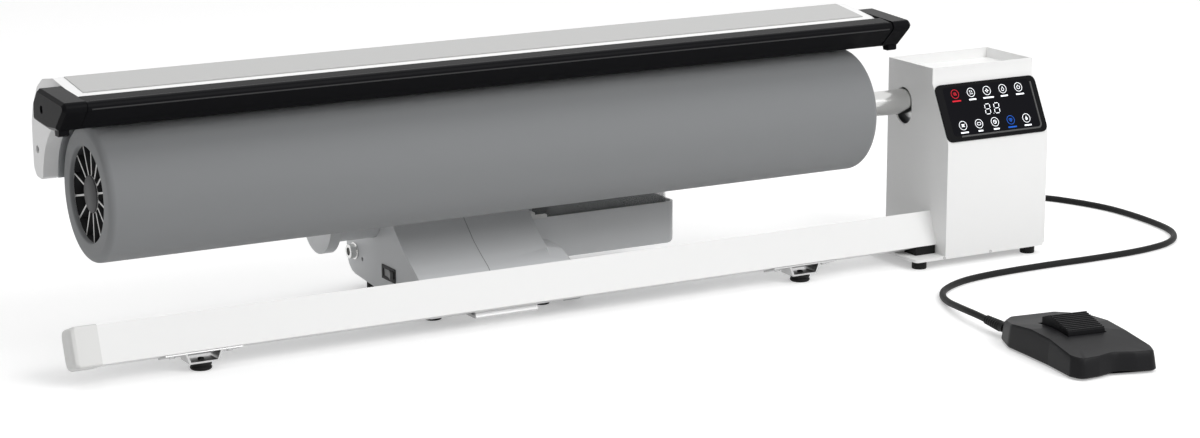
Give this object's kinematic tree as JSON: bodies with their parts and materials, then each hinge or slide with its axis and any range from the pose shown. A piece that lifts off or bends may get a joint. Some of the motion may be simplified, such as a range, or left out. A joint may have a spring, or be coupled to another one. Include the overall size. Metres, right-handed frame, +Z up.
{
  "type": "flatwork ironer",
  "caption": "Table-top flatwork ironer: padded driven roller under a heated curved shoe, control box at one end, steam unit behind, corded foot pedal in front.",
  "frame": {"origin": "on the floor, under the middle of the box round the machine and its pedal without the cord", "axes": "+X along the roller towards the control box, +Y from the user towards the rear, +Z up"},
  "size_m": [1.2953, 0.683, 0.2759],
  "materials": {
    "white_paint": "smooth white powder coat",
    "housing_grey": "satin light grey moulding",
    "cover_grey": "satin pale grey moulding",
    "light_plastic": "satin pale moulding",
    "inset_grey": "satin light grey sheet",
    "black_gloss": "glossy black moulding",
    "black_plastic": "fine matt black moulding",
    "panel_black": "glossy black frame of the touch panel",
    "panel_glass": "polished black front glass of the touch panel",
    "board_green": "printed circuit board",
    "roller_cloth": "tight grey cloth over padding",
    "polished_steel": "polished steel",
    "zinc_steel": "bright zinc-plated steel",
    "dark_steel": "blackened steel screws",
    "cast_grey": "raw cast aluminium",
    "aluminium": "smooth aluminium",
    "heater_sheath": "heat-tinted steel sheath",
    "brass": "cut brass gears",
    "motor_grey": "dark grey painted casing",
    "black_rubber": "matt black rubber",
    "switch_grey": "matt grey rocker",
    "clear_plastic": "clear moulded tank"
  },
  "bodies": {
    "frame": {"box_shell": "white_paint", "box_rear_cover": "white_paint", "box_base_plate": "white_paint", "box_feet": "black_rubber", "panel_bezel": "panel_black", "panel_glass": "panel_glass", "display_board": "board_green", "lift_guide_frame": "zinc_steel", "lift_motor": "motor_grey", "cord_gland": "black_plastic", "rail_tube": "white_paint", "rail_end_cap": "light_plastic", "rail_brackets": "zinc_steel", "rail_feet": "black_rubber", "rail_block": "black_rubber", "frame_screws": "zinc_steel", "housing_shell": "housing_grey", "housing_cover": "housing_grey", "housing_base_plate": "zinc_steel", "housing_feet": "black_rubber", "pivot_bearings": "cast_grey", "steam_generator": "aluminium", "water_pump": "motor_grey", "tank_tray": "housing_grey", "tank_latch": "light_plastic", "drain_valve": "polished_steel", "mains_inlet": "black_plastic", "switch_frame": "black_plastic", "pedal_body": "black_plastic", "pedal_base_plate": "black_plastic", "pedal_feet": "black_rubber", "pedal_microswitch": "motor_grey", "treadle_pin": "zinc_steel", "treadle_spring": "zinc_steel", "pedal_strain_relief": "black_rubber", "pedal_cord": "black_rubber"},
    "roller_carriage": {"lift_carriage": "cast_grey", "shaft_bearings": "zinc_steel", "drive_motor": "motor_grey"},
    "lift_screw": {"lift_screw": "zinc_steel"},
    "roller": {"roller_shaft": "polished_steel", "roller_tube": "aluminium", "roller_cover": "roller_cloth", "roller_hubs": "light_plastic", "drive_gear": "brass"},
    "motor_pinion": {"motor_pinion": "brass"},
    "shoe": {"pivot_tube": "housing_grey", "carrier_arm_left": "housing_grey", "carrier_arm_right": "housing_grey", "shoe_frame": "white_paint", "top_inset": "inset_grey", "shoe_plate": "aluminium", "heating_elements": "heater_sheath", "side_covers": "cover_grey", "end_caps": "black_gloss", "cap_screws": "dark_steel"},
    "guard_bar": {"guard_bar": "black_gloss"},
    "treadle": {"treadle": "black_plastic"},
    "power_rocker": {"power_rocker": "switch_grey"},
    "water_tank": {"water_tank": "clear_plastic"}
  },
  "joints": [
    {"name": "roller_lift", "type": "slide", "parent": "frame", "child": "roller_carriage", "axis": [0, 0, 1], "range_m": [-0.01, 0]},
    {"name": "lift_screw_turn", "type": "hinge", "parent": "frame", "child": "lift_screw", "pos_m": [0.458, 0.13749, 0.1], "axis": [0, 0, 1], "range_deg": [0, 360]},
    {"name": "roller_spin", "type": "hinge", "parent": "roller_carriage", "child": "roller", "pos_m": [-0.082, 0.16849, 0.168], "axis": [1, 0, 0], "continuous": true},
    {"name": "pinion_spin", "type": "hinge", "parent": "roller_carriage", "child": "motor_pinion", "pos_m": [0.502, 0.16849, 0.135], "axis": [1, 0, 0], "continuous": true},
    {"name": "shoe_tilt", "type": "hinge", "parent": "frame", "child": "shoe", "pos_m": [-0.089, 0.28049, 0.0895], "axis": [-1, 0, 0], "range_deg": [0, 25]},
    {"name": "guard_press", "type": "hinge", "parent": "shoe", "child": "guard_bar", "pos_m": [-0.084, 0.12949, 0.259], "axis": [1, 0, 0], "range_deg": [0, 5], "stiffness_Nm_per_rad": 2, "springref_deg": -3.44},
    {"name": "treadle_press", "type": "hinge", "parent": "frame", "child": "treadle", "pos_m": [0.31768, -0.27537, 0.014], "axis": [-0.9925, 0.1219, 0], "range_deg": [0, 8], "stiffness_Nm_per_rad": 3, "springref_deg": -8.59, "deforming": ["treadle_spring"]},
    {"name": "power_switch", "type": "hinge", "parent": "frame", "child": "power_rocker", "pos_m": [-0.1665, 0.23706, 0.034], "axis": [0, 0, 1], "range_deg": [0, 20]},
    {"name": "tank_lift_out", "type": "slide", "parent": "frame", "child": "water_tank", "axis": [0, 0, 1], "range_m": [0, 0.042]}
  ],
  "couplings": [
    {"joint": "lift_screw_turn", "follows": "roller_lift", "rad_per_m": -628.32},
    {"joint": "pinion_spin", "follows": "roller_spin", "ratio": -2.6667}
  ]
}
